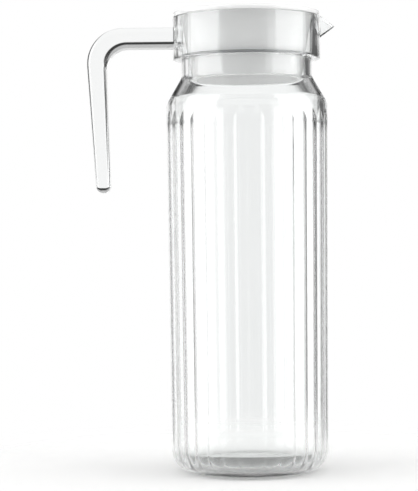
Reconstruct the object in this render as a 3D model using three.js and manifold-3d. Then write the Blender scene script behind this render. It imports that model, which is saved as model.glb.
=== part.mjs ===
// Clear acrylic jug with a fluted body, a beaked pouring collar and a hook handle, and a white lid that
// lifts off and turns.
// Millimetres, +Z up. The origin is the centre of the base, the beak points to +X and the handle to -X.

import * as THREE from 'three';
import { ConvexGeometry } from 'three/addons/geometries/ConvexGeometry.js';
import { mergeVertices } from 'three/addons/utils/BufferGeometryUtils.js';
import Module from 'manifold-3d';

// Fluted body
const bodyHeight = 202.6;
const bodyTopRadius = 45;
const bodyDraft = 1.2;
const footRound = 12;
const baseThickness = 5;
const insideRound = 8;
const bodyWall = 3.6;
const fluteCount = 30;
const fluteDepth = 0.7;
const fluteArch = 10;
const fluteTopMargin = 1;

// Shoulder and neck
const shoulderRise = 16.6;
const shoulderRound = 7;
const shoulderInsideRound = 10;
const neckRadius = 36.5;
const neckWall = 3.6;
const neckHeight = 9.6;

// Pouring collar
const collarOverhang = 4.5;
const collarWall = 4.2;
const collarLedge = 1;
const collarHeight = 23.7;
const collarFootRound = 1;
const collarRimRound = 0.6;

// Beak of the collar
const beakReach = 8.2;
const beakDrop = 5.6;
const beakDepth = 11.6;
const beakHalfWidth = 11;
const beakWall = 1.5;

// Handle
const handleRise = 12.4;
const handleReach = 88.7;
const handleWidth = 17;
const handleEdgeRound = 3;
const armDepth = 11.2;
const legDrop = 80.4;
const legTopDepth = 10.5;
const legEndDepth = 7.9;
const legLean = THREE.MathUtils.degToRad(3.7);
const outerBend = 20;
const innerBend = 12.3;
const tenonWidth = 10;
const tenonHeight = 6.4;
const tenonLength = 2.6;

// Lid and its seal
const lidPlate = 2.5;
const lidEdgeRound = 0.8;
const plugWall = 2;
const plugReach = 11.2;
const combSlots = 5;
const combSlotWidth = 2.2;
const combPitch = 4.4;
const combBridge = 2.7;
const sealThickness = 1.2;

// Clearances
const bondLine = 0.3;
const weldLine = 0.1;
const seatGap = 0.1;
const turningGap = 0.35;
const sealFit = 0.15;

// Fineness of the round shapes
const roundSegments = 80;
const segmentsPerFlute = 4;
const arcSteps = 4;
const archSteps = 5;
const weldDistance = 1e-4;
const cutMargin = 4;

// Sizes and heights that follow from the ones above
const bodyBaseRadius = bodyTopRadius - bodyDraft;
const bodyTopInside = bodyTopRadius - bodyWall - fluteDepth;
const bodyBaseInside = bodyBaseRadius - bodyWall - fluteDepth;
const shoulderBase = bodyHeight + weldLine;
const neckRim = shoulderBase + shoulderRise + neckHeight;
const neckBore = neckRadius - neckWall;
const collarRadius = neckRadius + collarOverhang;
const collarBore = collarRadius - collarWall;
const collarFoot = neckRim + weldLine;
const collarRim = collarFoot + collarHeight;
const sealFoot = collarFoot + collarLedge + seatGap;
const lidSeat = collarRim + seatGap;
const plugTopRadius = collarBore - turningGap;
const plugLedgeRadius = neckBore - turningGap;
const ledgeDepth = lidSeat - collarFoot - collarLedge;
const plugDepth = lidSeat - neckRim + plugReach;
const plugSlope = (plugTopRadius - plugLedgeRadius) / ledgeDepth;
const plugFootRadius = plugTopRadius - plugDepth * plugSlope;

const wasm = await Module();
wasm.setup();

// Merges the shared vertices of a geometry and drops the triangles that vanish on an axis.
function closed(geometry) {
  geometry.deleteAttribute('normal');
  geometry.deleteAttribute('uv');
  const joined = mergeVertices(geometry, weldDistance);
  const corners = joined.index.array;
  const kept = [];
  for (let i = 0; i < corners.length; i += 3) {
    const [a, b, c] = corners.slice(i, i + 3);
    if (a !== b && b !== c && c !== a) kept.push(a, b, c);
  }
  joined.setIndex(kept);
  return joined;
}

function solidOf(geometry) {
  const mesh = closed(geometry);
  const vertProperties = new Float32Array(mesh.attributes.position.array);
  const triVerts = new Uint32Array(mesh.index.array);
  return new wasm.Manifold(new wasm.Mesh({ numProp: 3, vertProperties, triVerts }));
}

function geometryOf(solid) {
  const mesh = solid.getMesh();
  const geometry = new THREE.BufferGeometry();
  geometry.setAttribute('position', new THREE.BufferAttribute(mesh.vertProperties, 3));
  geometry.setIndex(new THREE.BufferAttribute(mesh.triVerts, 1));
  geometry.computeVertexNormals();
  return geometry;
}

// An arc of a profile, from one angle to another in radians, both ends included.
function arc(centreRadius, centreHeight, radius, from, to, steps = arcSteps) {
  const points = [];
  for (let i = 0; i <= steps; i += 1) {
    const angle = from + ((to - from) * i) / steps;
    const across = centreRadius + radius * Math.cos(angle);
    const up = centreHeight + radius * Math.sin(angle);
    points.push(new THREE.Vector2(across, up));
  }
  return points;
}

// A turned shape about the Z axis, from a profile of radius and height that runs anticlockwise.
function turned(profile, segments = roundSegments) {
  return new THREE.LatheGeometry(profile, segments).rotateX(Math.PI / 2);
}

function ring(profile) {
  return turned([...profile, profile[0].clone()]);
}

function block(xSize, ySize, zSize, x, y, z) {
  return solidOf(new THREE.BoxGeometry(xSize, ySize, zSize).translate(x, y, z));
}

function drum(radius, height) {
  const round = new THREE.CylinderGeometry(radius, radius, height, roundSegments);
  return solidOf(round.rotateX(Math.PI / 2));
}

const acrylic = new THREE.MeshStandardMaterial({
  color: 0xe9eef0,
  roughness: 0.05,
  metalness: 0,
  transparent: true,
  opacity: 0.35,
});
const whitePlastic = new THREE.MeshStandardMaterial({
  color: 0xf0f1f0,
  roughness: 0.2,
  metalness: 0,
});
const silicone = new THREE.MeshStandardMaterial({
  color: 0xd9dcdb,
  roughness: 0.45,
  metalness: 0,
});

function piece(name, geometry, material) {
  const mesh = new THREE.Mesh(geometry, material);
  mesh.name = name;
  return mesh;
}

// Depth of the flutes at an angle: full in the middle of each flute, and nothing at the ridges between them.
// A share under 1 lifts the flute's floor, so that it narrows to an arch and runs out.
function fluteAt(angle, share) {
  const turns = (angle / (2 * Math.PI)) * fluteCount;
  const across = 2 * (turns - Math.round(turns));
  return fluteDepth * Math.max(0, share - across * across);
}

function flutedBody() {
  const quarter = Math.PI / 2;
  const profile = [new THREE.Vector2(0, 0)];
  profile.push(...arc(bodyBaseRadius - footRound, footRound, footRound, -quarter, 0));
  profile.push(new THREE.Vector2(bodyTopRadius, bodyHeight));
  const shares = profile.map(() => 0);

  const fluteTop = bodyHeight - fluteTopMargin;
  const insideFoot = baseThickness + insideRound;
  const insideAt = (height) => {
    const climb = (height - insideFoot) / (bodyHeight - insideFoot);
    return bodyBaseInside + (bodyTopInside - bodyBaseInside) * climb;
  };
  profile.push(new THREE.Vector2(bodyTopInside, bodyHeight));
  shares.push(0);
  for (let i = 0; i <= archSteps; i += 1) {
    const down = i / archSteps;
    const height = fluteTop - fluteArch * down;
    profile.push(new THREE.Vector2(insideAt(height), height));
    shares.push(Math.sqrt(1 - (1 - down) ** 2));
  }
  const corner = arc(bodyBaseInside - insideRound, insideFoot, insideRound, 0, -quarter);
  corner.forEach((point, i) => {
    profile.push(point);
    shares.push(1 - i / arcSteps);
  });
  profile.push(new THREE.Vector2(0, baseThickness));
  shares.push(0);

  const segments = fluteCount * segmentsPerFlute;
  const geometry = turned(profile, segments);
  const place = geometry.attributes.position;
  for (let i = 0; i < place.count; i += 1) {
    const share = shares[i % profile.length];
    const angle = Math.atan2(place.getY(i), place.getX(i));
    const radius = Math.hypot(place.getX(i), place.getY(i));
    const grown = share > 0 ? 1 + fluteAt(angle, share) / radius : 1;
    place.setX(i, place.getX(i) * grown);
    place.setY(i, place.getY(i) * grown);
  }
  return piece('fluted_body', closed(geometry), acrylic);
}

// Where a straight line from the neck's corner meets a round of the shoulder, as an angle on that round.
function shoulderAngle(centre, round, cornerRadius, cornerHeight) {
  const across = cornerRadius - centre;
  const distance = Math.hypot(across, cornerHeight);
  return Math.atan2(cornerHeight, across) - Math.acos(round / distance);
}

function shoulderNeck() {
  const centre = bodyTopRadius - shoulderRound;
  const outerAngle = shoulderAngle(centre, shoulderRound, neckRadius, shoulderRise);
  const boreCorner = shoulderRise - neckWall * Math.tan(outerAngle / 2);
  const insideCentre = bodyTopInside - shoulderInsideRound;
  const innerAngle = shoulderAngle(insideCentre, shoulderInsideRound, neckBore, boreCorner);
  const top = shoulderRise + neckHeight;
  const profile = [
    ...arc(centre, 0, shoulderRound, 0, outerAngle),
    new THREE.Vector2(neckRadius, shoulderRise),
    new THREE.Vector2(neckRadius, top),
    new THREE.Vector2(neckBore, top),
    new THREE.Vector2(neckBore, boreCorner),
    ...arc(insideCentre, 0, shoulderInsideRound, innerAngle, 0),
  ];
  const mesh = piece('shoulder_neck', closed(ring(profile)), acrylic);
  mesh.position.z = shoulderBase;
  return mesh;
}

// The corners of a beak: a triangle on the round wall, drawn out to a point and back into the wall.
function beakCorners(halfWidth, depth, reach, back) {
  const corners = [new THREE.Vector3(collarRadius + reach, 0, collarHeight - beakDrop)];
  for (const x of [Math.sqrt(collarRadius ** 2 - halfWidth ** 2), back]) {
    corners.push(new THREE.Vector3(x, halfWidth, collarHeight));
    corners.push(new THREE.Vector3(x, -halfWidth, collarHeight));
  }
  for (const x of [collarRadius, back]) corners.push(new THREE.Vector3(x, 0, collarHeight - depth));
  return corners;
}

function pourCollar() {
  const quarter = Math.PI / 2;
  const rimHeight = collarHeight - collarRimRound;
  const profile = [
    new THREE.Vector2(neckBore, 0),
    ...arc(collarRadius - collarFootRound, collarFootRound, collarFootRound, -quarter, 0),
    ...arc(collarRadius - collarRimRound, rimHeight, collarRimRound, 0, quarter),
    ...arc(collarBore + collarRimRound, rimHeight, collarRimRound, quarter, 2 * quarter),
    new THREE.Vector2(collarBore, collarLedge),
    new THREE.Vector2(neckBore, collarLedge),
  ];
  const wallMiddle = (collarBore + collarRadius) / 2;
  const beak = solidOf(new ConvexGeometry(beakCorners(beakHalfWidth, beakDepth, beakReach, wallMiddle)));

  const tip = beakReach - beakWall;
  const trough = beakCorners(beakHalfWidth - beakWall, beakDepth - beakWall, tip, collarBore - cutMargin);
  const raised = trough.map((corner) => corner.clone().setZ(corner.z + cutMargin));
  const pourWay = solidOf(new ConvexGeometry([...trough, ...raised]));

  const mortise = tenonBlock(bondLine).translate([0, 0, handleRise]);
  const band = solidOf(ring(profile)).add(beak).subtract(pourWay).subtract(mortise);
  const mesh = piece('pour_collar', geometryOf(band), acrylic);
  mesh.position.z = collarFoot;
  return mesh;
}

// The tenon of the handle, from inside the collar's wall to outside it, grown by a gap for its mortise.
function tenonBlock(gap) {
  const length = tenonLength + gap + cutMargin;
  const middle = length / 2 - collarRadius - cutMargin;
  return block(length, tenonWidth + 2 * gap, tenonHeight + 2 * gap, middle, 0, 0);
}

// Side outline of the handle, with the arm's middle at height 0: along the arm, round the bend and down
// the leg.
function handleOutline(root) {
  const top = armDepth / 2;
  const half = legEndDepth / 2;
  const outerX = outerBend - handleReach;
  const outerZ = top - outerBend;
  const legStart = new THREE.Vector2(-Math.cos(legLean), -Math.sin(legLean)).multiplyScalar(outerBend);
  legStart.add(new THREE.Vector2(outerX, outerZ));
  const endMiddle = top - armDepth - legDrop + half;
  const outerEnd = legStart.x + (legStart.y - endMiddle) * Math.tan(legLean);
  const innerX = legTopDepth + innerBend - handleReach;
  const innerZ = -top - innerBend;

  const outline = new THREE.Shape();
  outline.moveTo(root, top);
  outline.lineTo(outerX, top);
  outline.absarc(outerX, outerZ, outerBend, Math.PI / 2, Math.PI + legLean, false);
  outline.lineTo(outerEnd, endMiddle);
  outline.absarc(outerEnd + half, endMiddle, half, Math.PI, 2 * Math.PI, false);
  outline.lineTo(innerX - innerBend, innerZ);
  outline.absarc(innerX, innerZ, innerBend, Math.PI, Math.PI / 2, true);
  outline.lineTo(root, -top);
  outline.closePath();
  return outline;
}

function handle() {
  const bar = new THREE.ExtrudeGeometry(handleOutline(-collarBore), {
    depth: handleWidth - 2 * handleEdgeRound,
    curveSegments: 2 * arcSteps,
    bevelEnabled: true,
    bevelThickness: handleEdgeRound,
    bevelSize: handleEdgeRound,
    bevelOffset: -handleEdgeRound,
    bevelSegments: arcSteps - 1,
  });
  bar.rotateX(Math.PI / 2).translate(0, handleWidth / 2 - handleEdgeRound, 0);
  const outside = solidOf(bar).subtract(drum(collarRadius + bondLine, 2 * collarHeight));
  const mesh = piece('handle', geometryOf(outside.add(tenonBlock(0))), acrylic);
  mesh.position.z = collarFoot + handleRise;
  return mesh;
}

// The cover plate with its flange, and a hollow plug that tapers down past the collar's ledge into the neck.
function lid() {
  const quarter = Math.PI / 2;
  const profile = [
    new THREE.Vector2(0, 0),
    new THREE.Vector2(plugTopRadius - plugWall, 0),
    new THREE.Vector2(plugFootRadius - plugWall, -plugDepth),
    new THREE.Vector2(plugFootRadius, -plugDepth),
    new THREE.Vector2(plugTopRadius, 0),
    new THREE.Vector2(collarRadius, 0),
    ...arc(collarRadius - lidEdgeRound, lidPlate - lidEdgeRound, lidEdgeRound, 0, quarter),
    new THREE.Vector2(0, lidPlate),
  ];
  let cover = solidOf(turned(profile));

  const slotHeight = ledgeDepth - 2 * combBridge;
  const slotReach = plugTopRadius - plugLedgeRadius + 2 * plugWall;
  const slotMiddle = (plugTopRadius + plugLedgeRadius - plugWall) / 2;
  for (let i = 0; i < combSlots; i += 1) {
    const angle = ((i - (combSlots - 1) / 2) * combPitch) / plugTopRadius;
    const slot = new THREE.BoxGeometry(slotReach, combSlotWidth, slotHeight);
    slot.translate(slotMiddle, 0, -ledgeDepth / 2).rotateZ(angle);
    cover = cover.subtract(solidOf(slot));
  }
  return piece('lid', geometryOf(cover), whitePlastic);
}

// The silicone ring round the plug, which lies on the collar's ledge.
function lidSeal() {
  const inside = plugTopRadius - (lidSeat - sealFoot - sealThickness) * plugSlope + sealFit;
  const outside = collarBore - sealFit;
  const round = sealThickness / 2;
  const quarter = Math.PI / 2;
  const profile = [
    new THREE.Vector2(inside, 0),
    ...arc(outside - round, round, round, -quarter, quarter),
    new THREE.Vector2(inside, sealThickness),
  ];
  const mesh = piece('lid_seal', closed(ring(profile)), silicone);
  mesh.position.z = sealFoot;
  return mesh;
}

const jug = new THREE.Group();
jug.add(flutedBody(), shoulderNeck(), pourCollar(), handle());

const cover = new THREE.Group();
cover.add(lid());
cover.position.z = lidSeat;

const part = new THREE.Group();
part.add(jug, lidSeal(), cover);

export default part;
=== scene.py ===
"""Looks of a clear acrylic jug: a fluted body, a beaked pouring collar, a hook handle and a white lid."""

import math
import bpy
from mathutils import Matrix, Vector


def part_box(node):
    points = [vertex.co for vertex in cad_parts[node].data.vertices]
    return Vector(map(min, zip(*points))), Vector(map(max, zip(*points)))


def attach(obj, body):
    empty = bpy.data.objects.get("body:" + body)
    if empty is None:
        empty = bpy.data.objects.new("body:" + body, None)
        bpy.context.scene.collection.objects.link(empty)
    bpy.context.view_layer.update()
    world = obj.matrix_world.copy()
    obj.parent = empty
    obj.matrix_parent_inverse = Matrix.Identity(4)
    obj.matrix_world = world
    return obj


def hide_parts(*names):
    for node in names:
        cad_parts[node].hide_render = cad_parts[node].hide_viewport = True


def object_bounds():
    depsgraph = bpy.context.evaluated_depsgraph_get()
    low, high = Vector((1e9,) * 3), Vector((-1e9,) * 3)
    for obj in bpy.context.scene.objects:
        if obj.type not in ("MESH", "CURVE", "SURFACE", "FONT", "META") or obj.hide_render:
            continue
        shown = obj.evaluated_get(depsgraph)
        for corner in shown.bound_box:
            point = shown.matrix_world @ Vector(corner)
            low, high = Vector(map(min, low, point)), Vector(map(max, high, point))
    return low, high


bl_info = {
    "name": "Acrylic Jug",
    "version": (1, 0, 0),
    "blender": (4, 5, 0),
    "location": "View3D > Sidebar > Jug",
    "description": "Models a clear, fluted acrylic jug with a beaked collar, a hook handle and a white lid",
    "category": "Add Mesh",
}

import bmesh
import bpy
from bpy.props import FloatProperty, FloatVectorProperty, IntProperty, PointerProperty
from bpy.types import Operator, Panel, PropertyGroup
from mathutils import Matrix, Vector

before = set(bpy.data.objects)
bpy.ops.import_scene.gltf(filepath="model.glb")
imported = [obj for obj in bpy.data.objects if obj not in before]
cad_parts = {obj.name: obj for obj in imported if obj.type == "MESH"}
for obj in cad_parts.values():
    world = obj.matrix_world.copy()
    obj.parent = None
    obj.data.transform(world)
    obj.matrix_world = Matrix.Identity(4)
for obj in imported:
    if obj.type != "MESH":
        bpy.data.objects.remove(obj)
CAD_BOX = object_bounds()
BODY_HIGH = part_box("fluted_body")[1]
COLLAR_LOW, COLLAR_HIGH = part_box("pour_collar")
HANDLE_LOW, HANDLE_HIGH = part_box("handle")
LID_LOW, LID_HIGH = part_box("lid")
SEAL_LOW, SEAL_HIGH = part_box("lid_seal")

QUARTER = math.pi / 2

# How finely the shapes are drawn, and what counts as one point, a flat face or a sharp edge
ROUND_STEPS = 288
FLUTE_STEPS = 20
ARCH_STEPS = 24
BODY_CORNER_STEPS = 20
SHOULDER_STEPS = 14
CORNER_STEPS = 10
EDGE_STEPS = 6
PLATE_EDGE_STEPS = 5
BEVEL_SEGMENTS = 4
BEND_STEPS = 28
LEG_STEPS = 6
LEG_END_STEPS = 12
FLOOR_STEPS = 96
MERGE_DISTANCE = 1e-7
FLAT_ANGLE = math.radians(1)
LEVEL_NORMAL = 0.99
SHARP_ANGLE = math.radians(28)

# Air left at a weld, in metres, so that two clear pieces don't share a face, and a welded face's finish
WELD_GAP = 1e-5
WELDED_LOOK = 1

# Sockets of a node that mixes two colours, whose names repeat
MIX_FACTOR = 0
MIX_FIRST = 6
MIX_SECOND = 7
MIX_RESULT = 2

# Patterns of the finishes: cells to a metre, stretch along the jug, and the range of noise that shows
PLAIN_DETAIL = 2.0
FINE_DETAIL = 3.0
DUST_DETAIL = 4.0
FLOW_STEP = (0.35, 0.65)
ACRYLIC_FLOW_CELLS = 60.0
ACRYLIC_FLOW_STRETCH = (1.0, 1.0, 0.35)
ACRYLIC_FLOW_DEPTH = 0.0006
MARK_CELLS = 900.0
MARK_STRETCH = (1.0, 1.0, 0.06)
MARK_STEP = (0.60, 0.74)
PATCH_CELLS = 22.0
PATCH_STEP = (0.52, 0.68)
SCUFFED_FOOT = (0.0002, 0.0012)
FOOT_WEAR = 2.0
DEEP_SHARE = 0.5
PLASTIC_FLOW_CELLS = 70.0
PLASTIC_FLOW_STRETCH = (1.0, 1.0, 0.4)
PLASTIC_FLOW_DEPTH = 0.0003
PLASTIC_FLOW_PALE = 1.03
GRAIN_CELLS = 1400.0
WEAR_CELLS = 45.0
WEAR_STEP = (0.55, 0.7)
WEAR_ROUGHNESS = 0.2
DUST_CELLS = 700.0
DUST_DEPTH = 0.0001
DUST_RELIEF = 0.15
DUST_ROUGHNESS = 0.2
DUST_PALE = 1.15
CLOUD_CELLS = 90.0
CLOUD_STEP = (0.3, 0.7)

# White screens stand behind the jug as seen from the front, the front right, the right and the back left, at
# these turns in degrees from the back. Between them clear walls show the gap's shade.
SCREEN_TURNS = (0, -45, -90, 135)
SCREEN_SOFTNESS = math.radians(2)

# Heights of the view between which the surround's bands begin and end
STRIP_FOOT = (0.14, 0.18)
CEILING_FOOT = (0.30, 0.38)
PANEL_FOOT = (-0.5, -0.4)
PANEL_HEAD = (0.6, 0.7)

# The stage: the floor's radius for each metre of its fade, softboxes in metres, sensor in millimetres
FLOOR_REACH = 3
SIDE_BOX_PLACE = (0.94, -0.16, 0.3)
SIDE_BOX_SIZE = (1.5, 1.6)
TOP_BOX_PLACE = (0, 0, 1.2)
TOP_BOX_SIZE = (0.8, 0.8)
SENSOR_WIDTH = 36.0

# Light goes through many clear walls before it reaches the eye
CLEAR_BOUNCES = 32
MIRROR_BOUNCES = 16


# Sizes, colours and light that a user can change
def length(name, description, default):
    """A length in metres that a user can change."""
    return FloatProperty(
        name=name, description=description, default=default, min=0.0, unit="LENGTH", precision=5
    )


def colour(name, description, default):
    """A colour that a user can change."""
    return FloatVectorProperty(
        name=name, description=description, default=default, min=0.0, max=1.0, size=3, subtype="COLOR"
    )


def share(name, description, default):
    """A plain number from 0 up that a user can change."""
    return FloatProperty(name=name, description=description, default=default, min=0.0, precision=4)


def angle(name, description, degrees):
    """An angle that a user can change."""
    return FloatProperty(name=name, description=description, default=math.radians(degrees), subtype="ANGLE")


class JugBodySizes(PropertyGroup):
    """Sizes of the fluted body."""

    height: length("Height", "From the base to the rim of the body", BODY_HIGH.z)
    top_radius: length("Top radius", "Outside radius at the rim", BODY_HIGH.x)
    draft: length("Draft", "How much smaller the radius is above the foot", 0.0012)
    foot_round: length("Foot round", "Radius of the outer corner at the base", 0.012)
    base: length("Base", "Thickness of the base", 0.005)
    inside_round: length("Inside round", "Radius of the inner corner at the base", 0.008)
    wall: length("Wall", "Thickness of the wall behind a flute", 0.0036)
    flutes: IntProperty(name="Flutes", description="Number of upright flutes", default=30, min=3)
    flute_depth: length("Flute depth", "Depth of a flute between its ridges", 0.0007)
    flute_arch: length("Flute arch", "Height over which a flute runs out at its top", 0.010)
    flute_margin: length("Flute margin", "Plain band between the arches and the rim", 0.001)
    ridge: share("Ridge", "Share of a flute that rounds off the ridge at each side", 0.2)
    gate_radius: length("Gate mark", "Radius of the moulding mark under the base", 0.003)
    gate_depth: length("Gate mark depth", "Depth of the moulding mark under the base", 0.0003)


class ShoulderSizes(PropertyGroup):
    """Sizes of the shoulder and the neck."""

    rise: length("Rise", "Height of the shoulder", 0.0166)
    round: length("Round", "Radius where the shoulder leaves the body", 0.007)
    neck_radius: length("Neck radius", "Outside radius of the neck", 0.0365)
    neck_wall: length("Neck wall", "Thickness of the neck and the shoulder", 0.0036)
    neck_blend: length("Neck blend", "Radius where the shoulder meets the neck", 0.0012)
    inner_round: length("Inner round", "Radius where the shoulder leaves the body on the inside", 0.010)


class CollarSizes(PropertyGroup):
    """Sizes of the pouring collar and its beak."""

    radius: length("Radius", "Outside radius of the band", COLLAR_HIGH.y)
    wall: length("Wall", "Thickness of the band", 0.0042)
    ledge: length("Ledge", "Thickness of the ledge that sits on the neck", 0.001)
    foot_round: length("Foot round", "Radius of the lower outer edge", 0.001)
    rim_round: length("Rim round", "Radius of the rim's two edges", 0.0003)
    beak_drop: length("Beak drop", "How far the tip lies below the rim", 0.0056)
    beak_depth: length("Beak depth", "Height of the beak at the band", 0.0116)
    beak_half_width: length("Beak half width", "Half of the beak's width at the band", 0.011)
    beak_wall: length("Beak wall", "Thickness of the beak", 0.0015)


class HandleSizes(PropertyGroup):
    """Sizes of the hook handle."""

    reach: length("Reach", "From the jug's axis to the outside of the leg", -HANDLE_LOW.x)
    width: length("Width", "Width of the bar across the jug", 2 * HANDLE_HIGH.y)
    edge_round: length("Edge round", "Radius of the bar's edges", 0.003)
    arm_depth: length("Arm depth", "Height of the arm", 0.0112)
    leg_top_depth: length("Leg top depth", "Depth of the leg under the bend", 0.0105)
    leg_end_depth: length("Leg end depth", "Depth of the leg at its end", 0.0079)
    outer_bend: length("Outer bend", "Outside radius of the bend", 0.02)
    inner_bend: length("Inner bend", "Inside radius of the bend", 0.0123)
    tenon_width: length("Tenon width", "Width of the tenon in the collar", 0.01)
    tenon_height: length("Tenon height", "Height of the tenon in the collar", 0.0064)
    tenon_length: length("Tenon length", "How far the tenon reaches into the collar", 0.0026)
    tenon_round: length("Tenon round", "Radius of the tenon's edges", 0.0004)
    bond: length("Bond", "Thickness of the bond between the handle and the collar", 0.0001)
    lean: angle("Lean", "How far the leg leans in towards the body", 3.7)


class LidSizes(PropertyGroup):
    """Sizes of the lid and its seal."""

    radius: length("Radius", "Radius of the cover plate", LID_HIGH.x)
    plate: length("Plate", "Thickness of the cover plate", 0.0025)
    edge_round: length("Edge round", "Radius of the plate's upper edge", 0.0008)
    foot_round: length("Foot round", "Radius of the plate's lower edge and the plug's foot", 0.0002)
    plug_top_radius: length("Plug top radius", "Outside radius of the plug under the plate", 0.03645)
    plug_ledge_radius: length("Plug ledge radius", "Outside radius of the plug at the ledge", 0.03255)
    plug_wall: length("Plug wall", "Thickness of the plug", 0.002)
    plug_blend: length("Plug blend", "Radius where the plug meets the plate", 0.0004)
    slots: IntProperty(name="Slots", description="Number of slots in the comb", default=5, min=1)
    slot_width: length("Slot width", "Width of a slot of the comb", 0.0022)
    slot_pitch: length("Slot pitch", "Distance between slots along the plug", 0.0044)
    slot_round: length("Slot round", "Radius of a slot's edges", 0.00055)
    bridge: length("Bridge", "Height of the plug that stays whole above and below the slots", 0.0027)
    seal_fit: length("Seal fit", "Gap between the plug and the seal", 0.00015)


class FinishSettings(PropertyGroup):
    """Look of the acrylic, the white plastic and the silicone."""

    tint: colour("Tint", "Colour of the acrylic", (0.985, 0.992, 0.99))
    deep_tint: colour("Deep tint", "Colour of the acrylic where it flowed thick", (0.97, 0.98, 0.978))
    gloss: share("Gloss", "Roughness of the clean acrylic", 0.012)
    scuff: share("Scuff", "Roughness that handling adds in places", 0.05)
    ripple: share("Ripple", "Strength of the ripples left by the mould", 0.04)
    refraction: share("Refraction", "Index of refraction of the acrylic", 1.49)
    white: colour("White", "Colour of the lid's plastic", (0.9, 0.9, 0.895))
    white_gloss: share("White gloss", "Roughness of the lid's plastic", 0.1)
    white_depth: length("White depth", "How far light goes in under the skin of the lid's plastic", 0.007)
    silicone: colour("Silicone", "Colour of the seal", (0.3, 0.305, 0.31))
    silicone_gloss: share("Silicone gloss", "Roughness of the clean seal", 0.35)
    silicone_refraction: share("Silicone refraction", "Index of refraction of the seal", 1.41)


class StageSettings(PropertyGroup):
    """Floor, light and camera."""

    floor: colour("Floor", "Colour of the floor", (0.985, 0.985, 0.98))
    floor_gap: length("Floor gap", "Air between the jug's base and the floor", 0.0003)
    fade_start: length("Fade start", "Where the floor begins to fade to white", 0.07)
    fade_end: length("Fade end", "Where the floor has faded to white", 0.24)
    fill: share("Fill", "Brightness of the light from all round", 0.65)
    panel_fill: share("Panel fill", "Brightness that the side panels add to the fill", 0.8)
    inner_gain: share("Inner gain", "Light added behind clear walls, which stop the softboxes", 0.85)
    side_power: share("Side power", "Power of each side softbox in watts", 5.5)
    top_power: share("Top power", "Power of the softbox above in watts", 2.0)
    gap_shade: share("Gap shade", "Brightness of the gaps between the white screens", 0.13)
    strip_shade: share("Strip shade", "Brightness of the dark strip above the screens", 0.04)
    ceiling_shade: share("Ceiling shade", "Brightness of the ceiling above the strip", 0.5)
    panel_shade: share("Panel shade", "Brightness of the side panels seen through the jug", 0.5)
    panel_glow: share("Panel glow", "Brightness of the side panels mirrored in the jug", 2.6)
    panel_start: angle("Panel start", "Angle from the picture's back to where a side panel begins", 75)
    panel_end: angle("Panel end", "Angle from the picture's back to where a side panel ends", 134)
    back_half_width: angle("Back half width", "Half of the angle of the screen behind the picture", 22)
    screen_half_width: angle("Screen half width", "Half of the angle of each other screen", 12)
    distance: length("Distance", "From the camera to the jug's axis", 0.95)
    eye_height: length("Eye height", "Height of the camera above the floor", 0.137)
    aim_height: length("Aim height", "Height of the point in the middle of the picture", 0.1257)
    aim_side: FloatProperty(
        name="Aim side",
        description="Where the middle of the picture lies across the jug",
        default=-0.022,
        unit="LENGTH",
    )
    picture_height: length("Picture height", "Height that the picture covers at the axis", 0.2745)
    roll: angle("Roll", "Tilt of the camera", -0.57)


# Finishes
class Wire:
    """A node's socket. Sums and products of wires add Math nodes."""

    def __init__(self, shade, socket):
        self.shade = shade
        self.socket = socket

    def __add__(self, other):
        return self.shade.maths("ADD", self, other)

    def __radd__(self, other):
        return self.shade.maths("ADD", other, self)

    def __sub__(self, other):
        return self.shade.maths("SUBTRACT", self, other)

    def __rsub__(self, other):
        return self.shade.maths("SUBTRACT", other, self)

    def __mul__(self, other):
        return self.shade.maths("MULTIPLY", self, other)

    def __rmul__(self, other):
        return self.shade.maths("MULTIPLY", other, self)

    def larger(self, other):
        return self.shade.maths("MAXIMUM", self, other)

    def smaller(self, other):
        return self.shade.maths("MINIMUM", self, other)

    def ramp(self, low, high):
        """0 below low and 1 above high, with a soft step between them."""
        settings = {"interpolation_type": "SMOOTHSTEP"}
        inputs = {"Value": self, "From Min": low, "From Max": high}
        return self.shade.node("ShaderNodeMapRange", settings, inputs, "Result")


class Shading:
    """Adds nodes to the tree of one material or world."""

    def __init__(self, owner):
        owner.use_nodes = True
        self.tree = owner.node_tree
        self.tree.nodes.clear()

    def node(self, kind, settings=(), inputs=(), output=0):
        """A node with its settings and its sockets' values or links. Gives the wire of one output."""
        node = self.tree.nodes.new(kind)
        for name, value in dict(settings).items():
            setattr(node, name, value)
        for name, value in dict(inputs).items():
            if isinstance(value, Wire):
                self.tree.links.new(value.socket, node.inputs[name])
            else:
                node.inputs[name].default_value = value
        return Wire(self, node.outputs[output]) if node.outputs else None

    def maths(self, operation, *values):
        """A function of wires and numbers."""
        return self.node("ShaderNodeMath", {"operation": operation}, dict(enumerate(values)))

    def place(self):
        """The place of a point in the jug's frame."""
        return self.node("ShaderNodeTexCoord", output="Object")

    def split(self, vector):
        """The x, y and z of a vector."""
        first = self.node("ShaderNodeSeparateXYZ", inputs={"Vector": vector})
        return [Wire(self, socket) for socket in first.socket.node.outputs]

    def noise(self, vector, cells, detail=PLAIN_DETAIL):
        """Soft noise with a number of cells to a metre."""
        return self.node("ShaderNodeTexNoise", inputs={"Vector": vector, "Scale": cells, "Detail": detail})

    def stretched(self, vector, scale):
        """A place that makes a pattern longer where the scale is under 1."""
        return self.node("ShaderNodeMapping", inputs={"Vector": vector, "Scale": scale})

    def blend(self, factor, first, second):
        """A colour between two colours."""
        inputs = {MIX_FACTOR: factor, MIX_FIRST: opaque(first), MIX_SECOND: opaque(second)}
        return self.node("ShaderNodeMix", {"data_type": "RGBA"}, inputs, MIX_RESULT)

    def relief(self, height, strength, depth):
        """Normals of a surface that rises and falls by a depth in metres."""
        inputs = {"Strength": strength, "Distance": depth, "Height": height}
        return self.node("ShaderNodeBump", inputs=inputs)


def opaque(rgb):
    """A colour's four channels, with nothing seen through it."""
    return (*rgb, 1.0)


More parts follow.
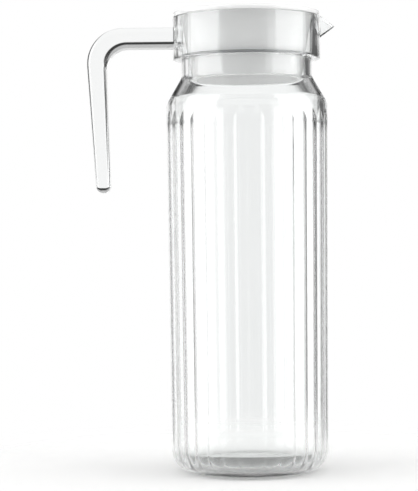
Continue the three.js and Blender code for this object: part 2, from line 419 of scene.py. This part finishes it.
def material(context, name, surface):
    """The material of a name. A function of the tree and the finish makes its surface once."""
    if name not in bpy.data.materials:
        shade = Shading(bpy.data.materials.new(name))
        shade.node("ShaderNodeOutputMaterial", inputs={"Surface": surface(shade, context.scene.jug_finish)})
    return bpy.data.materials[name]


def clear_acrylic(shade, finish):
    """Polished acrylic: clear, with faint mould ripples, fine handling marks and a scuffed foot."""
    place = shade.place()
    height = shade.split(place)[2]
    flow = shade.noise(shade.stretched(place, ACRYLIC_FLOW_STRETCH), ACRYLIC_FLOW_CELLS)
    marks = shade.noise(shade.stretched(place, MARK_STRETCH), MARK_CELLS, FINE_DETAIL).ramp(*MARK_STEP)
    patches = shade.noise(place, PATCH_CELLS).ramp(*PATCH_STEP)
    foot = 1 - height.ramp(*SCUFFED_FOOT)
    handled = (marks * patches + foot * FOOT_WEAR).smaller(1.0)
    return shade.node(
        "ShaderNodeBsdfPrincipled",
        inputs={
            "Base Color": shade.blend(flow.ramp(*FLOW_STEP) * DEEP_SHARE, finish.tint, finish.deep_tint),
            "Roughness": handled * finish.scuff + finish.gloss,
            "IOR": finish.refraction,
            "Transmission Weight": 1.0,
            "Normal": shade.relief(flow, finish.ripple, ACRYLIC_FLOW_DEPTH),
        },
    )


def welded_acrylic(shade, finish):
    """Acrylic at a welded face, where light goes straight on because the weld leaves no surface."""
    flow = shade.noise(shade.place(), ACRYLIC_FLOW_CELLS)
    return shade.node(
        "ShaderNodeBsdfPrincipled",
        inputs={
            "Base Color": shade.blend(flow.ramp(*FLOW_STEP), finish.tint, (1.0, 1.0, 1.0)),
            "Roughness": 0.0,
            "IOR": 1.0,
            "Transmission Weight": 1.0,
        },
    )


def acrylic_looks(context):
    """The two finishes of a clear piece: its polished skin, and its welded faces."""
    polished = material(context, "polished_acrylic", clear_acrylic)
    welded = material(context, "welded_acrylic", welded_acrylic)
    return [polished, welded]


def white_plastic(shade, finish):
    """White moulded plastic: glossy, with faint flow lines from the mould and fine wear in places."""
    place = shade.place()
    flow = shade.noise(shade.stretched(place, PLASTIC_FLOW_STRETCH), PLASTIC_FLOW_CELLS, FINE_DETAIL)
    grain = shade.noise(place, GRAIN_CELLS, FINE_DETAIL)
    wear = shade.noise(place, WEAR_CELLS).ramp(*WEAR_STEP)
    pale = [min(1.0, part * PLASTIC_FLOW_PALE) for part in finish.white]
    return shade.node(
        "ShaderNodeBsdfPrincipled",
        inputs={
            "Base Color": shade.blend(flow.ramp(*FLOW_STEP), finish.white, pale),
            "Roughness": grain * wear * WEAR_ROUGHNESS + finish.white_gloss,
            "IOR": finish.refraction,
            "Subsurface Weight": 1.0,
            "Subsurface Radius": (1.0, 1.0, 1.0),
            "Subsurface Scale": finish.white_depth,
            "Normal": shade.relief(flow, finish.ripple, PLASTIC_FLOW_DEPTH),
        },
    )


def grey_silicone(shade, finish):
    """Grey silicone with a satin, slightly dusty skin."""
    place = shade.place()
    dust = shade.noise(place, DUST_CELLS, DUST_DETAIL)
    cloud = shade.noise(place, CLOUD_CELLS)
    dusty = [part * DUST_PALE for part in finish.silicone]
    return shade.node(
        "ShaderNodeBsdfPrincipled",
        inputs={
            "Base Color": shade.blend(cloud.ramp(*CLOUD_STEP), finish.silicone, dusty),
            "Roughness": dust * DUST_ROUGHNESS + finish.silicone_gloss,
            "IOR": finish.silicone_refraction,
            "Normal": shade.relief(dust, DUST_RELIEF, DUST_DEPTH),
        },
    )


# Shapes
def arc(centre_radius, centre_height, radius, start, stop, steps=CORNER_STEPS):
    """Points of an arc in a profile of radius and height, both ends included."""
    points = []
    for i in range(steps + 1):
        turn = start + (stop - start) * i / steps
        points.append((centre_radius + radius * math.cos(turn), centre_height + radius * math.sin(turn)))
    return points


def spun(profile, steps, marks=None):
    """A shape turned about Z from a profile of radius and height. Its points keep their marks."""
    shape = bmesh.new()
    mark = shape.verts.layers.float.new("mark")
    corners = [shape.verts.new((radius, 0.0, height)) for radius, height in profile]
    for corner, value in zip(corners, marks or []):
        corner[mark] = value
    edges = [shape.edges.new(pair) for pair in zip(corners, corners[1:])]
    if min(profile[0][0], profile[-1][0]) > MERGE_DISTANCE:
        edges.append(shape.edges.new((corners[-1], corners[0])))
    bmesh.ops.spin(
        shape,
        geom=corners + edges,
        cent=(0, 0, 0),
        axis=(0, 0, 1),
        angle=math.tau,
        steps=steps,
        use_merge=True,
    )
    tidy(shape)
    return shape


def tidy(shape):
    """Merges doubled points and turns the faces outwards."""
    bmesh.ops.remove_doubles(shape, verts=shape.verts, dist=MERGE_DISTANCE)
    bmesh.ops.recalc_face_normals(shape, faces=shape.faces)


def round_edges(shape, edges, radius):
    """Rounds edges to a radius."""
    bmesh.ops.bevel(
        shape,
        geom=edges,
        offset=radius,
        offset_type="OFFSET",
        affect="EDGES",
        segments=BEVEL_SEGMENTS,
        profile=0.5,
        material=-1,
        clamp_overlap=True,
    )


def block(size, centre, turn=0.0, radius=0.0):
    """A box, turned about Z after it is placed, with its edges rounded."""
    shape = bmesh.new()
    bmesh.ops.create_cube(shape, size=1.0)
    bmesh.ops.scale(shape, vec=size, verts=shape.verts)
    if radius > 0:
        round_edges(shape, shape.edges[:], radius)
    bmesh.ops.translate(shape, vec=centre, verts=shape.verts)
    bmesh.ops.rotate(shape, cent=(0, 0, 0), matrix=Matrix.Rotation(turn, 3, "Z"), verts=shape.verts)
    return shape


def drum(radius, low, high):
    """A plain cylinder about Z."""
    return spun([(0.0, low), (radius, low), (radius, high), (0.0, high)], ROUND_STEPS)


def plain_object(name, shape):
    """Puts a shape into the scene as an object at the origin."""
    mesh = bpy.data.meshes.new(name)
    shape.to_mesh(mesh)
    shape.free()
    thing = bpy.data.objects.new(name, mesh)
    bpy.context.scene.collection.objects.link(thing)
    return thing


def combined(shape, steps):
    """A shape after a list of ('UNION' or 'DIFFERENCE', other shape) steps."""
    base = plain_object("base", shape)
    others = []
    for operation, other in steps:
        tool = plain_object("tool", other)
        others.append(tool)
        change = base.modifiers.new("change", "BOOLEAN")
        change.operation = operation
        change.solver = "EXACT"
        change.object = tool
    depsgraph = bpy.context.evaluated_depsgraph_get()
    mesh = bpy.data.meshes.new_from_object(base.evaluated_get(depsgraph))
    result = bmesh.new()
    result.from_mesh(mesh)
    bpy.data.meshes.remove(mesh)
    for thing in [base, *others]:
        bpy.data.meshes.remove(thing.data)
    return result


def mark_weld(shape, height, radius):
    """Gives the flat faces at a height, out to a radius, the look of a weld."""
    for face in shape.faces:
        middle = face.calc_center_median()
        level = abs(middle.z - height) < MERGE_DISTANCE and abs(face.normal.z) > LEVEL_NORMAL
        if level and middle.xy.length < radius:
            face.material_index = WELDED_LOOK


def finished(name, shape, looks, body, node):
    """Puts a shape into the scene as the piece that stands for a node of the frame."""
    for face in shape.faces:
        face.smooth = True
    for edge in shape.edges:
        edge.smooth = len(edge.link_faces) == 2 and edge.calc_face_angle() < SHARP_ANGLE
    piece = plain_object(name, shape)
    for look in looks:
        piece.data.materials.append(look)
    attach(piece, body)
    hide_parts(node)


# Pieces
def flute_curve(across, ridge):
    """How far a flute's hollow has closed: 0 in its middle and nearly 1 at its rounded ridges."""
    if across < 1 - ridge:
        return across**2
    return (1 - ridge) * (1 - (1 - across) ** 2 / ridge)


class JUG_OT_fluted_body(Operator):
    """Model the fluted body with its base"""

    bl_idname = "jug.fluted_body"
    bl_label = "Fluted body"

    def execute(self, context):
        sizes = context.scene.jug_body
        base_radius = sizes.top_radius - sizes.draft
        thickness = sizes.wall + sizes.flute_depth
        inside_top = sizes.top_radius - thickness
        inside_base = base_radius - thickness
        inside_foot = sizes.base + sizes.inside_round
        flute_top = sizes.height - sizes.flute_margin

        outside = [(0.0, sizes.gate_depth), (sizes.gate_radius, sizes.gate_depth)]
        outside.append((sizes.gate_radius + sizes.gate_depth, 0.0))
        corner = sizes.foot_round
        outside += arc(base_radius - corner, corner, corner, -QUARTER, 0, BODY_CORNER_STEPS)
        outside.append((sizes.top_radius, sizes.height))
        outside.append((inside_top, sizes.height))
        marks = [0.0] * len(outside)

        inside = []
        for i in range(ARCH_STEPS + 1):
            down = i / ARCH_STEPS
            height = flute_top - sizes.flute_arch * down
            climb = (height - inside_foot) / (sizes.height - inside_foot)
            inside.append((inside_base + (inside_top - inside_base) * climb, height))
            marks.append(down**2 * (3 - 2 * down))
        corner = sizes.inside_round
        inside += arc(inside_base - corner, inside_foot, corner, 0, -QUARTER, BODY_CORNER_STEPS)
        marks += [1 - i / BODY_CORNER_STEPS for i in range(BODY_CORNER_STEPS + 1)]
        inside.append((0.0, sizes.base))
        marks.append(0.0)

        shape = spun(outside + inside, sizes.flutes * FLUTE_STEPS, marks)
        mark = shape.verts.layers.float["mark"]
        for point in shape.verts:
            turns = math.atan2(point.co.y, point.co.x) / math.tau * sizes.flutes
            across = 2 * abs(turns - round(turns))
            depth = sizes.flute_depth * max(0.0, point[mark] - flute_curve(across, sizes.ridge))
            if depth > 0:
                outward = Vector((point.co.x, point.co.y, 0.0)).normalized()
                point.co += outward * depth
        mark_weld(shape, sizes.height, sizes.top_radius)
        looks = acrylic_looks(context)
        finished("fluted_body_clear", shape, looks, "jug", "fluted_body")
        return {"FINISHED"}


def tangent_angle(centre, radius, corner_radius, corner_height):
    """Where a straight line from a corner touches a round of the shoulder, as an angle on that round."""
    across = corner_radius - centre
    distance = math.hypot(across, corner_height)
    return math.atan2(corner_height, across) - math.acos(radius / distance)


def eased(before, corner, after, radius):
    """Points that round a corner of a profile, between the lines to its neighbours."""
    start = Vector(corner) + (Vector(before) - Vector(corner)).normalized() * radius
    stop = Vector(corner) + (Vector(after) - Vector(corner)).normalized() * radius
    points = []
    for i in range(EDGE_STEPS + 1):
        t = i / EDGE_STEPS
        point = start * (1 - t) ** 2 + Vector(corner) * 2 * t * (1 - t) + stop * t**2
        points.append((point.x, point.y))
    return points


class JUG_OT_shoulder_neck(Operator):
    """Model the shoulder and the neck"""

    bl_idname = "jug.shoulder_neck"
    bl_label = "Shoulder and neck"

    def execute(self, context):
        sizes = context.scene.jug_shoulder
        body = context.scene.jug_body
        foot = body.height + WELD_GAP
        top = COLLAR_LOW.z - WELD_GAP - foot
        centre = body.top_radius - sizes.round
        bore = sizes.neck_radius - sizes.neck_wall
        outer_angle = tangent_angle(centre, sizes.round, sizes.neck_radius, sizes.rise)
        inner_rise = sizes.rise - sizes.neck_wall * math.tan(outer_angle / 2)
        inner_centre = body.top_radius - body.wall - body.flute_depth - sizes.inner_round
        inner_angle = tangent_angle(inner_centre, sizes.inner_round, bore, inner_rise)

        outer_arc = arc(centre, 0, sizes.round, 0, outer_angle, SHOULDER_STEPS)
        inner_arc = arc(inner_centre, 0, sizes.inner_round, inner_angle, 0, SHOULDER_STEPS)
        outer_corner = (sizes.neck_radius, sizes.rise)
        inner_corner = (bore, inner_rise)
        outer_rim = (sizes.neck_radius, top)
        inner_rim = (bore, top)
        profile = outer_arc + eased(outer_arc[-1], outer_corner, outer_rim, sizes.neck_blend)
        profile += [outer_rim, inner_rim]
        profile += eased(inner_rim, inner_corner, inner_arc[0], sizes.neck_blend)
        profile += inner_arc
        shape = spun([(radius, height + foot) for radius, height in profile], ROUND_STEPS)
        mark_weld(shape, foot, body.top_radius)
        mark_weld(shape, foot + top, sizes.neck_radius)
        looks = acrylic_looks(context)
        finished("shoulder_clear", shape, looks, "jug", "shoulder_neck")
        return {"FINISHED"}


def hull(points):
    """The closed skin round a few points."""
    shape = bmesh.new()
    corners = [shape.verts.new(point) for point in points]
    made = bmesh.ops.convex_hull(shape, input=corners)
    spare = set(made["geom_interior"] + made["geom_unused"])
    loose = [item for item in spare if isinstance(item, bmesh.types.BMVert)]
    bmesh.ops.delete(shape, geom=loose, context="VERTS")
    bmesh.ops.dissolve_limit(shape, angle_limit=FLAT_ANGLE, verts=shape.verts, edges=shape.edges)
    tidy(shape)
    return shape


def beak_corners(sizes, half_width, depth, reach, back):
    """Corners of a beak: a triangle on the round band, drawn out to a point and back into the wall."""
    rim = COLLAR_HIGH.z
    corners = [Vector((sizes.radius + reach, 0, rim - sizes.beak_drop))]
    for x in (math.sqrt(sizes.radius**2 - half_width**2), back):
        corners.append(Vector((x, half_width, rim)))
        corners.append(Vector((x, -half_width, rim)))
    for x in (sizes.radius, back):
        corners.append(Vector((x, 0, rim - depth)))
    return corners


class JUG_OT_pour_collar(Operator):
    """Model the pouring collar with its beak"""

    bl_idname = "jug.pour_collar"
    bl_label = "Pouring collar"

    def execute(self, context):
        sizes = context.scene.jug_collar
        neck = context.scene.jug_shoulder
        handle = context.scene.jug_handle
        foot = COLLAR_LOW.z
        bore = sizes.radius - sizes.wall
        rim = COLLAR_HIGH.z - sizes.rim_round
        small = sizes.rim_round
        neck_bore = neck.neck_radius - neck.neck_wall
        ledge_top = foot + sizes.ledge
        profile = [(bore, ledge_top), (neck_bore, ledge_top), (neck_bore, foot)]
        profile.append((neck.neck_radius, foot))
        corner = sizes.foot_round
        profile += arc(sizes.radius - corner, foot + corner, corner, -QUARTER, 0)
        profile += arc(sizes.radius - small, rim, small, 0, QUARTER, EDGE_STEPS)
        profile += arc(bore + small, rim, small, QUARTER, 2 * QUARTER, EDGE_STEPS)
        band = spun(profile, ROUND_STEPS)

        margin = sizes.wall
        reach = COLLAR_HIGH.x - sizes.radius
        wall_middle = sizes.radius - sizes.wall / 2
        beak = hull(beak_corners(sizes, sizes.beak_half_width, sizes.beak_depth, reach, wall_middle))
        inner_half = sizes.beak_half_width - sizes.beak_wall
        inner_depth = sizes.beak_depth - sizes.beak_wall
        trough = beak_corners(sizes, inner_half, inner_depth, reach - sizes.beak_wall, bore - margin)
        raised = [corner + Vector((0, 0, margin)) for corner in trough]
        pour_way = hull(trough + raised)

        mortise = tenon_block(handle, sizes.radius, handle.bond)
        shape = combined(band, [("UNION", beak), ("DIFFERENCE", pour_way), ("DIFFERENCE", mortise)])
        tidy(shape)
        mark_weld(shape, foot, neck.neck_radius)
        looks = acrylic_looks(context)
        finished("collar_clear", shape, looks, "jug", "pour_collar")
        return {"FINISHED"}


def tenon_block(handle, collar_radius, gap, edge=0.0):
    """The handle's tenon, from inside the collar's wall to outside it. A gap makes it a mortise."""
    length_in = handle.tenon_length + gap
    size = (2 * length_in, handle.tenon_width + 2 * gap, handle.tenon_height + 2 * gap)
    middle = HANDLE_HIGH.z - handle.arm_depth / 2
    return block(size, (-collar_radius, 0, middle), radius=edge)


def bar_section(width, depth, radius):
    """A rounded rectangle across a bar, as (across, deep) points."""
    points = []
    for corner, (side, face) in enumerate(((1, 1), (-1, 1), (-1, -1), (1, -1))):
        across = side * (width / 2 - radius)
        deep = face * (depth / 2 - radius)
        start = corner * QUARTER
        points += arc(across, deep, radius, start, start + QUARTER, EDGE_STEPS)
    return points


def on_circle(centre, radius, turn):
    """A point on an upright circle in the plane of the handle."""
    return centre + radius * Vector((math.cos(turn), 0, math.sin(turn)))


def handle_stations(sizes, root):
    """Pairs of points on the handle's outer and inner sides, along the arm, the bend and the leg."""
    top = HANDLE_HIGH.z
    low = top - sizes.arm_depth
    outer = Vector((sizes.outer_bend - sizes.reach, 0, top - sizes.outer_bend))
    inner = Vector((sizes.leg_top_depth + sizes.inner_bend - sizes.reach, 0, low - sizes.inner_bend))
    stations = [(Vector((root, 0, top)), Vector((root, 0, low)))]
    for i in range(BEND_STEPS + 1):
        turn = i / BEND_STEPS
        outer_point = on_circle(outer, sizes.outer_bend, QUARTER + (QUARTER + sizes.lean) * turn)
        inner_point = on_circle(inner, sizes.inner_bend, QUARTER + QUARTER * turn)
        stations.append((outer_point, inner_point))
    leg_outer, leg_inner = stations[-1]
    end = HANDLE_LOW.z + sizes.leg_end_depth / 2
    end_outer = Vector((leg_outer.x + (leg_outer.z - end) * math.tan(sizes.lean), 0, end))
    end_inner = end_outer + Vector((sizes.leg_end_depth, 0, 0))
    for i in range(1, LEG_STEPS + 1):
        t = i / LEG_STEPS
        stations.append((leg_outer.lerp(end_outer, t), leg_inner.lerp(end_inner, t)))
    return stations


def section_matrix(middle, deep, thin, narrow):
    """Puts the bar's section at a place on the handle, turned to its depth and scaled both ways."""
    across = Vector((0, 1, 0))
    along = across.cross(deep)
    turn = Matrix((across, along, deep)).transposed().to_4x4()
    return Matrix.Translation(middle) @ turn @ Matrix.Diagonal((narrow, 1, thin, 1))


class JUG_OT_handle(Operator):
    """Model the hook handle"""

    bl_idname = "jug.handle"
    bl_label = "Handle"

    def execute(self, context):
        sizes = context.scene.jug_handle
        collar = context.scene.jug_collar
        places = []
        for outer, inner in handle_stations(sizes, collar.wall - collar.radius):
            middle = (outer + inner) / 2
            deep = outer - inner
            places.append((middle, deep.normalized(), deep.length / sizes.arm_depth, 1.0))
        middle, deep, thin, _ = places[-1]
        half = sizes.leg_end_depth / 2
        for i in range(1, LEG_END_STEPS):
            turn = QUARTER * i / LEG_END_STEPS
            drop = Vector((0, 0, -half * math.sin(turn)))
            narrow = 1 - 2 * sizes.edge_round / sizes.width * (1 - math.cos(turn))
            places.append((middle + drop, deep, thin * math.cos(turn), narrow))

        shape = bmesh.new()
        section = bar_section(sizes.width, sizes.arm_depth, sizes.edge_round)
        ring = [shape.verts.new((across, 0, deep)) for across, deep in section]
        edges = [shape.edges.new(pair) for pair in zip(ring, ring[1:] + ring[:1])]
        bmesh.ops.transform(shape, matrix=section_matrix(*places[0]), verts=ring)
        bmesh.ops.contextual_create(shape, geom=edges)
        for before, after in zip(places, places[1:]):
            made = bmesh.ops.extrude_edge_only(shape, edges=edges)["geom"]
            points = [item for item in made if isinstance(item, bmesh.types.BMVert)]
            moved = section_matrix(*after) @ section_matrix(*before).inverted()
            bmesh.ops.transform(shape, matrix=moved, verts=points)
            fresh = set(points)
            edges = [
                item
                for item in made
                if isinstance(item, bmesh.types.BMEdge) and all(point in fresh for point in item.verts)
            ]
        bmesh.ops.contextual_create(shape, geom=edges)
        tidy(shape)

        low = COLLAR_LOW.z - collar.wall
        high = COLLAR_HIGH.z + collar.wall
        clearing = drum(collar.radius + sizes.bond, low, high)
        tenon = tenon_block(sizes, collar.radius, 0.0, edge=sizes.tenon_round)
        bar = combined(shape, [("DIFFERENCE", clearing), ("UNION", tenon)])
        tidy(bar)
        looks = [material(context, "polished_acrylic", clear_acrylic)]
        finished("handle_clear", bar, looks, "jug", "handle")
        return {"FINISHED"}


def depth_to_ledge(lid, collar):
    """How far the collar's ledge lies under the lid's plate."""
    return LID_HIGH.z - lid.plate - COLLAR_LOW.z - collar.ledge


def plug_radius(lid, collar, height):
    """Outside radius of the lid's tapered plug at a height."""
    slope = (lid.plug_top_radius - lid.plug_ledge_radius) / depth_to_ledge(lid, collar)
    return lid.plug_top_radius - (LID_HIGH.z - lid.plate - height) * slope


class JUG_OT_lid(Operator):
    """Model the lid with its tapered plug and its pouring comb"""

    bl_idname = "jug.lid"
    bl_label = "Lid"

    def execute(self, context):
        sizes = context.scene.jug_lid
        collar = context.scene.jug_collar
        top = LID_HIGH.z
        under = top - sizes.plate
        foot = LID_LOW.z
        ledge_depth = depth_to_ledge(sizes, collar)
        foot_radius = plug_radius(sizes, collar, foot)
        soft = sizes.foot_round
        centre = (0.0, under)
        inner_top = (sizes.plug_top_radius - sizes.plug_wall, under)
        inner_foot = (foot_radius - sizes.plug_wall, foot)
        outer_foot = (foot_radius, foot)
        outer_top = (sizes.plug_top_radius, under)
        profile = [centre]
        profile += eased(centre, inner_top, inner_foot, sizes.plug_blend)
        profile += eased(inner_top, inner_foot, outer_foot, soft)
        profile += eased(inner_foot, outer_foot, outer_top, soft)
        profile.append(outer_top)
        profile += arc(sizes.radius - soft, under + soft, soft, -QUARTER, 0, PLATE_EDGE_STEPS)
        edge = top - sizes.edge_round
        profile += arc(sizes.radius - sizes.edge_round, edge, sizes.edge_round, 0, QUARTER)
        profile.append((0.0, top))
        cover = spun(profile, ROUND_STEPS)

        steps = []
        slot_height = ledge_depth - 2 * sizes.bridge
        slot_reach = sizes.plug_top_radius - sizes.plug_ledge_radius + 2 * sizes.plug_wall
        slot_middle = (sizes.plug_top_radius + sizes.plug_ledge_radius - sizes.plug_wall) / 2
        size = (slot_reach, sizes.slot_width, slot_height)
        middle = (slot_middle, 0, under - ledge_depth / 2)
        for i in range(sizes.slots):
            turn = (i - (sizes.slots - 1) / 2) * sizes.slot_pitch / sizes.plug_top_radius
            steps.append(("DIFFERENCE", block(size, middle, turn, radius=sizes.slot_round)))
        shape = combined(cover, steps)
        tidy(shape)
        looks = [material(context, "moulded_white", white_plastic)]
        finished("lid_white", shape, looks, "lid", "lid")
        return {"FINISHED"}


class JUG_OT_lid_seal(Operator):
    """Model the silicone ring round the plug"""

    bl_idname = "jug.lid_seal"
    bl_label = "Lid seal"

    def execute(self, context):
        sizes = context.scene.jug_lid
        inside = plug_radius(sizes, context.scene.jug_collar, SEAL_HIGH.z) + sizes.seal_fit
        outside = SEAL_HIGH.x
        round_edge = (SEAL_HIGH.z - SEAL_LOW.z) / 2
        middle = (SEAL_HIGH.z + SEAL_LOW.z) / 2
        profile = arc(outside - round_edge, middle, round_edge, -QUARTER, QUARTER)
        profile += [(inside, SEAL_HIGH.z), (inside, SEAL_LOW.z)]
        shape = spun(profile, ROUND_STEPS)
        looks = [material(context, "satin_silicone", grey_silicone)]
        finished("seal_ring", shape, looks, "seal", "lid_seal")
        return {"FINISHED"}


# Stage
def make_floor(stage):
    """A pale floor that keeps the jug's shadow and fades out into the white of the surround."""
    shape = bmesh.new()
    reach = FLOOR_REACH * stage.fade_end
    bmesh.ops.create_circle(shape, cap_ends=True, radius=reach, segments=FLOOR_STEPS)
    bmesh.ops.translate(shape, vec=(0, 0, -stage.floor_gap), verts=shape.verts)
    floor = plain_object("floor", shape)
    paper = bpy.data.materials.new("floor")
    shade = Shading(paper)
    x, y, _ = shade.split(shade.place())
    distance = shade.maths("SQRT", x * x + y * y)
    paint = shade.node("ShaderNodeBsdfDiffuse", inputs={"Color": opaque(stage.floor)})
    nothing = shade.node("ShaderNodeBsdfTransparent")
    fade = distance.ramp(stage.fade_start, stage.fade_end)
    surface = shade.node("ShaderNodeMixShader", inputs={0: fade, 1: paint, 2: nothing})
    shade.node("ShaderNodeOutputMaterial", inputs={"Surface": surface})
    floor.data.materials.append(paper)


def screens(shade, turn_of_view, stage, panels):
    """White screens, one behind the jug for each side it is rendered from, with dark gaps between them."""
    shown = panels * stage.panel_shade
    for turn in SCREEN_TURNS:
        half = stage.screen_half_width if turn else stage.back_half_width
        facing = shade.maths("COSINE", turn_of_view - math.radians(turn))
        edge = math.cos(half + SCREEN_SOFTNESS)
        shown = facing.ramp(edge, math.cos(half - SCREEN_SOFTNESS)).larger(shown)
    return shown * (1 - stage.gap_shade) + stage.gap_shade


def make_surround(stage):
    """The white all round. What the clear walls show of it has dark gaps, which draw their edges."""
    world = bpy.data.worlds.new("surround")
    bpy.context.scene.world = world
    shade = Shading(world)
    x, y, z = shade.split(shade.node("ShaderNodeTexCoord", output="Generated"))
    turn_of_view = shade.maths("ARCTAN2", x, y)
    side = shade.maths("ABSOLUTE", turn_of_view)
    panels = side.ramp(stage.panel_start - SCREEN_SOFTNESS, stage.panel_start + SCREEN_SOFTNESS)
    panels = panels * (1 - side.ramp(stage.panel_end - SCREEN_SOFTNESS, stage.panel_end + SCREEN_SOFTNESS))
    panel_light = panels * z.ramp(*PANEL_FOOT) * (1 - z.ramp(*PANEL_HEAD))

    # What shows through the clear walls and in their mirrored light
    shown = screens(shade, turn_of_view, stage, panels)
    strip = z.ramp(*STRIP_FOOT)
    shown = shown * (1 - strip) + strip * stage.strip_shade
    ceiling = z.ramp(*CEILING_FOOT)
    shown = shown * (1 - ceiling) + ceiling * stage.ceiling_shade
    reflected = shade.node("ShaderNodeLightPath", output="Glossy Depth").smaller(1.0)
    shown = shown.larger(panel_light * reflected * stage.panel_glow)

    # What falls on the lid, the seal and the floor, with more of it behind clear walls
    soft_light = panel_light * stage.panel_fill + stage.fill
    through = shade.node("ShaderNodeLightPath", output="Is Transmission Ray")
    soft_light = soft_light * (through * stage.inner_gain + 1)

    # The background itself is plain white
    sight = shade.node("ShaderNodeLightPath", output="Is Camera Ray")
    mirrored = shade.node("ShaderNodeLightPath", output="Is Glossy Ray")
    scattered = shade.node("ShaderNodeLightPath", output="Diffuse Depth").smaller(1.0)
    clear = mirrored.larger(through) * (1 - scattered)
    level = sight.larger(shown * clear + soft_light * (1 - clear))
    back = shade.node("ShaderNodeBackground", inputs={"Color": (1, 1, 1, 1), "Strength": level})
    shade.node("ShaderNodeOutputWorld", inputs={"Surface": back})


def make_softbox(name, place, size, target, power):
    """A soft lamp that faces a point."""
    data = bpy.data.lights.new(name, "AREA")
    data.shape = "RECTANGLE"
    data.size, data.size_y = size
    data.energy = power
    lamp = bpy.data.objects.new(name, data)
    lamp.location = place
    lamp.rotation_euler = (Vector(target) - Vector(place)).to_track_quat("-Z", "Y").to_euler()
    lamp.visible_camera = False
    lamp.visible_glossy = False
    lamp.visible_transmission = False
    bpy.context.scene.collection.objects.link(lamp)


def make_camera(stage):
    """A level camera with a long lens, at the height and side that the picture was taken from."""
    data = bpy.data.cameras.new("camera")
    data.sensor_width = SENSOR_WIDTH
    data.lens = SENSOR_WIDTH * stage.distance / stage.picture_height
    camera = bpy.data.objects.new("camera", data)
    camera.location = (stage.aim_side, -stage.distance, stage.eye_height)
    aim = Vector((stage.aim_side, 0, stage.aim_height)) - camera.location
    turn = aim.to_track_quat("-Z", "Y").to_matrix() @ Matrix.Rotation(stage.roll, 3, "Z")
    camera.rotation_euler = turn.to_euler()
    bpy.context.scene.collection.objects.link(camera)
    bpy.context.scene.camera = camera


class JUG_OT_stage(Operator):
    """Set up the floor, the light and the camera"""

    bl_idname = "jug.stage"
    bl_label = "Stage"

    def execute(self, context):
        stage = context.scene.jug_stage
        middle = (0, 0, CAD_BOX[1].z / 2)
        make_camera(stage)
        make_floor(stage)
        make_surround(stage)
        x, y, z = SIDE_BOX_PLACE
        make_softbox("softbox_left", (-x, y, z), SIDE_BOX_SIZE, middle, stage.side_power)
        make_softbox("softbox_right", (x, y, z), SIDE_BOX_SIZE, middle, stage.side_power)
        make_softbox("softbox_top", TOP_BOX_PLACE, TOP_BOX_SIZE, middle, stage.top_power)
        context.scene.view_settings.view_transform = "Standard"
        context.scene.cycles.max_bounces = CLEAR_BOUNCES
        context.scene.cycles.transmission_bounces = CLEAR_BOUNCES
        context.scene.cycles.glossy_bounces = MIRROR_BOUNCES
        return {"FINISHED"}


# The add-on
OPERATORS = (
    JUG_OT_stage,
    JUG_OT_fluted_body,
    JUG_OT_shoulder_neck,
    JUG_OT_pour_collar,
    JUG_OT_handle,
    JUG_OT_lid,
    JUG_OT_lid_seal,
)
SETTINGS = {
    "jug_body": JugBodySizes,
    "jug_shoulder": ShoulderSizes,
    "jug_collar": CollarSizes,
    "jug_handle": HandleSizes,
    "jug_lid": LidSizes,
    "jug_finish": FinishSettings,
    "jug_stage": StageSettings,
}


class JUG_PT_panel(Panel):
    """Lists the pieces of the jug and their sizes"""

    bl_label = "Acrylic jug"
    bl_idname = "JUG_PT_panel"
    bl_space_type = "VIEW_3D"
    bl_region_type = "UI"
    bl_category = "Jug"

    def draw(self, context):
        for operator in OPERATORS:
            self.layout.operator(operator.bl_idname)
        for name, group in SETTINGS.items():
            box = self.layout.box()
            box.label(text=group.__doc__)
            for field in group.__annotations__:
                box.prop(getattr(context.scene, name), field)


def register():
    for group in SETTINGS.values():
        bpy.utils.register_class(group)
    for name, group in SETTINGS.items():
        setattr(bpy.types.Scene, name, PointerProperty(type=group))
    for operator in OPERATORS:
        bpy.utils.register_class(operator)
    bpy.utils.register_class(JUG_PT_panel)


def unregister():
    bpy.utils.unregister_class(JUG_PT_panel)
    for operator in reversed(OPERATORS):
        bpy.utils.unregister_class(operator)
    for name in SETTINGS:
        delattr(bpy.types.Scene, name)
    for group in reversed(SETTINGS.values()):
        bpy.utils.unregister_class(group)


def main():
    register()
    bpy.ops.jug.stage()
    bpy.ops.jug.fluted_body()
    bpy.ops.jug.shoulder_neck()
    bpy.ops.jug.pour_collar()
    bpy.ops.jug.handle()
    bpy.ops.jug.lid()
    bpy.ops.jug.lid_seal()


if __name__ == "__main__":
    main()
